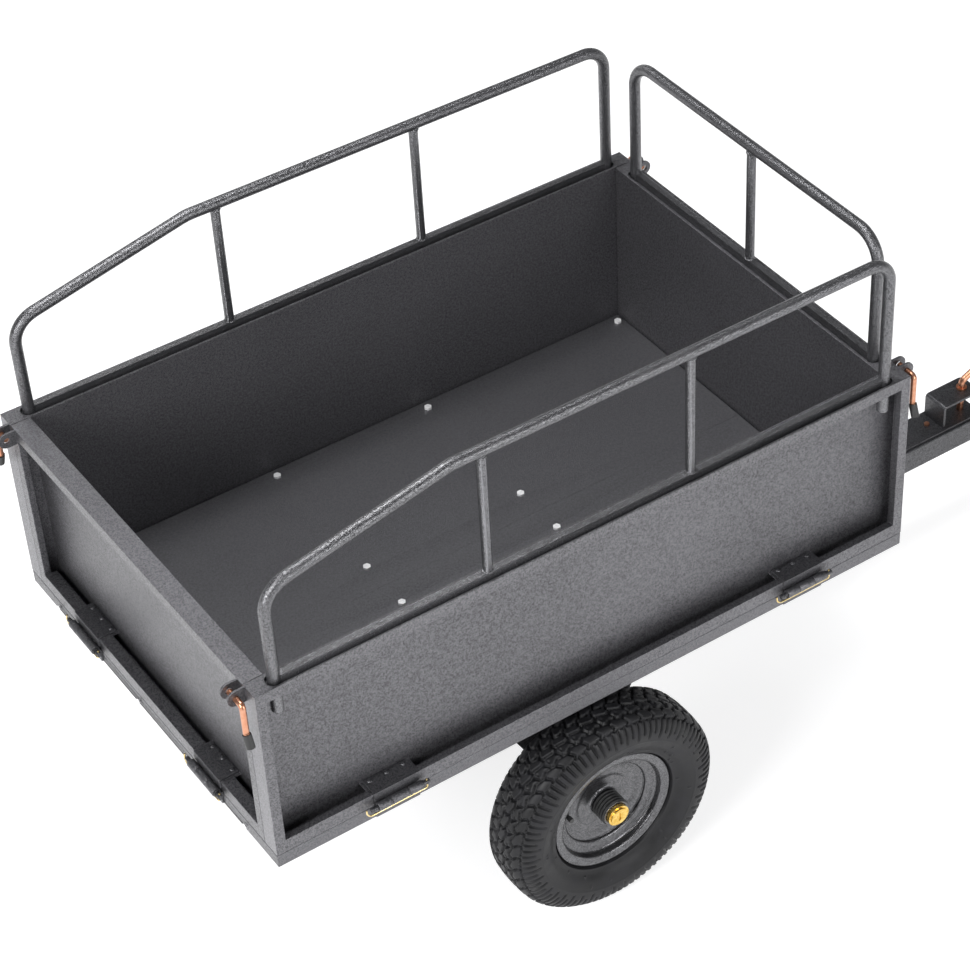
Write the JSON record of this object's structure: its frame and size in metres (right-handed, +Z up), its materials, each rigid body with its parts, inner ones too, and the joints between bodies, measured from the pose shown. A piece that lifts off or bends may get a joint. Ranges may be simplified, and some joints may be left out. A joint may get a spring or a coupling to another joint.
{
  "type": "tow behind cart",
  "caption": "Towed utility cart with a tipping bed, fold-down sides on pinned hinges, lift-out guard rails, corner latch pins and a drop-pin hitch.",
  "frame": {"origin": "on the ground, midway between the cart's front and rear ends, on its centre line", "axes": "+X forward to the hitch, +Y to the left, +Z up"},
  "size_m": [1.8116, 0.89, 1.0556],
  "materials": {
    "panel_paint": "hammertone",
    "frame_paint": "hammertone",
    "rail_paint": "hammertone",
    "chassis_paint": "hammertone",
    "rim_paint": "hammertone",
    "bright_zinc": "zinc plated",
    "copper_zinc": "colour zinc plated",
    "yellow_zinc": "yellow zinc plated",
    "axle_steel": "turned",
    "tyre_rubber": "matte",
    "valve_rubber": "matte",
    "grip_rubber": "satin",
    "bush_plastic": "matte"
  },
  "bodies": {
    "chassis": {"tongue": "chassis_paint", "axle": "axle_steel", "chassis_bolts": "copper_zinc", "hitch_bracket": "chassis_paint", "lock_post": "chassis_paint", "wheel_spacers": "axle_steel", "axle_caps": "yellow_zinc"},
    "bed": {"base_frame": "frame_paint", "cross_members": "frame_paint", "floor_left": "panel_paint", "floor_right": "panel_paint", "outer_axle_brackets": "frame_paint", "inner_axle_brackets": "frame_paint", "axle_bushes": "bush_plastic", "floor_bolts": "bright_zinc", "frame_bolts": "bright_zinc", "lock_tab": "frame_paint", "bed_hinge_leaves": "frame_paint", "hinge_pins": "bright_zinc", "hinge_pin_clips": "yellow_zinc"},
    "left_side": {"left_panel": "panel_paint", "left_hinge_leaves": "frame_paint", "left_rivets": "bright_zinc", "left_latch_tabs": "frame_paint"},
    "right_side": {"right_panel": "panel_paint", "right_hinge_leaves": "frame_paint", "right_rivets": "bright_zinc", "right_latch_tabs": "frame_paint"},
    "rear_side": {"tailgate": "panel_paint", "tailgate_hinge_leaves": "frame_paint", "tailgate_rivets": "bright_zinc", "tailgate_latch_tabs": "frame_paint"},
    "front_side": {"front_panel": "panel_paint", "front_hinge_leaves": "frame_paint", "front_rivets": "bright_zinc", "front_latch_tabs": "frame_paint"},
    "left_rail": {"left_rail_hoop": "rail_paint", "left_rail_struts": "rail_paint"},
    "right_rail": {"right_rail_hoop": "rail_paint", "right_rail_struts": "rail_paint"},
    "front_rail": {"front_rail_hoop": "rail_paint", "front_rail_struts": "rail_paint"},
    "left_wheel": {"left_tyre": "tyre_rubber", "left_rim": "rim_paint", "left_valve": "valve_rubber", "left_bearings": "bright_zinc"},
    "right_wheel": {"right_tyre": "tyre_rubber", "right_rim": "rim_paint", "right_valve": "valve_rubber", "right_bearings": "bright_zinc"},
    "latch_rear_left": {"latch_pin_rear_left": "copper_zinc", "latch_grip_rear_left": "grip_rubber"},
    "latch_rear_right": {"latch_pin_rear_right": "copper_zinc", "latch_grip_rear_right": "grip_rubber"},
    "latch_front_left": {"latch_pin_front_left": "copper_zinc", "latch_grip_front_left": "grip_rubber"},
    "latch_front_right": {"latch_pin_front_right": "copper_zinc", "latch_grip_front_right": "grip_rubber"},
    "hitch_drop_pin": {"hitch_pin": "copper_zinc"},
    "tilt_lock_pin": {"lock_pin": "copper_zinc"}
  },
  "joints": [
    {"name": "bed_tilt", "type": "hinge", "parent": "chassis", "child": "bed", "pos_m": [-0.27584, 0, 0.203], "axis": [0, -1, 0], "range_deg": [0, 38]},
    {"name": "left_side_fold", "type": "hinge", "parent": "bed", "child": "left_side", "pos_m": [-0.26584, 0.41, 0.474], "axis": [-1, 0, 0], "range_deg": [0, 110]},
    {"name": "right_side_fold", "type": "hinge", "parent": "bed", "child": "right_side", "pos_m": [-0.26584, -0.41, 0.474], "axis": [1, 0, 0], "range_deg": [0, 110]},
    {"name": "tailgate_fold", "type": "hinge", "parent": "bed", "child": "rear_side", "pos_m": [-0.88584, 0, 0.474], "axis": [0, -1, 0], "range_deg": [0, 180]},
    {"name": "front_side_fold", "type": "hinge", "parent": "bed", "child": "front_side", "pos_m": [0.35416, 0, 0.474], "axis": [0, 1, 0], "range_deg": [0, 95]},
    {"name": "left_rail_lift", "type": "slide", "parent": "left_side", "child": "left_rail", "axis": [0, 0, 1], "range_m": [0, 0.045]},
    {"name": "right_rail_lift", "type": "slide", "parent": "right_side", "child": "right_rail", "axis": [0, 0, 1], "range_m": [0, 0.045]},
    {"name": "front_rail_lift", "type": "slide", "parent": "front_side", "child": "front_rail", "axis": [0, 0, 1], "range_m": [0, 0.045]},
    {"name": "left_wheel_spin", "type": "hinge", "parent": "chassis", "child": "left_wheel", "pos_m": [-0.27584, 0.389, 0.203], "axis": [0, 1, 0], "continuous": true},
    {"name": "right_wheel_spin", "type": "hinge", "parent": "chassis", "child": "right_wheel", "pos_m": [-0.27584, -0.389, 0.203], "axis": [0, 1, 0], "continuous": true},
    {"name": "hitch_pin_lift", "type": "slide", "parent": "chassis", "child": "hitch_drop_pin", "axis": [0, 0, 1], "range_m": [0, 0.1]},
    {"name": "tilt_lock_slide", "type": "slide", "parent": "chassis", "child": "tilt_lock_pin", "axis": [0, -1, 0], "range_m": [-0.02, 0]},
    {"name": "latch_rear_left_slide", "type": "slide", "parent": "left_side", "child": "latch_rear_left", "axis": [0, 1, 0], "range_m": [-0.01, 0]},
    {"name": "latch_rear_right_slide", "type": "slide", "parent": "right_side", "child": "latch_rear_right", "axis": [0, -1, 0], "range_m": [-0.01, 0]},
    {"name": "latch_front_left_slide", "type": "slide", "parent": "left_side", "child": "latch_front_left", "axis": [0, 1, 0], "range_m": [-0.01, 0]},
    {"name": "latch_front_right_slide", "type": "slide", "parent": "right_side", "child": "latch_front_right", "axis": [0, -1, 0], "range_m": [-0.01, 0]}
  ]
}
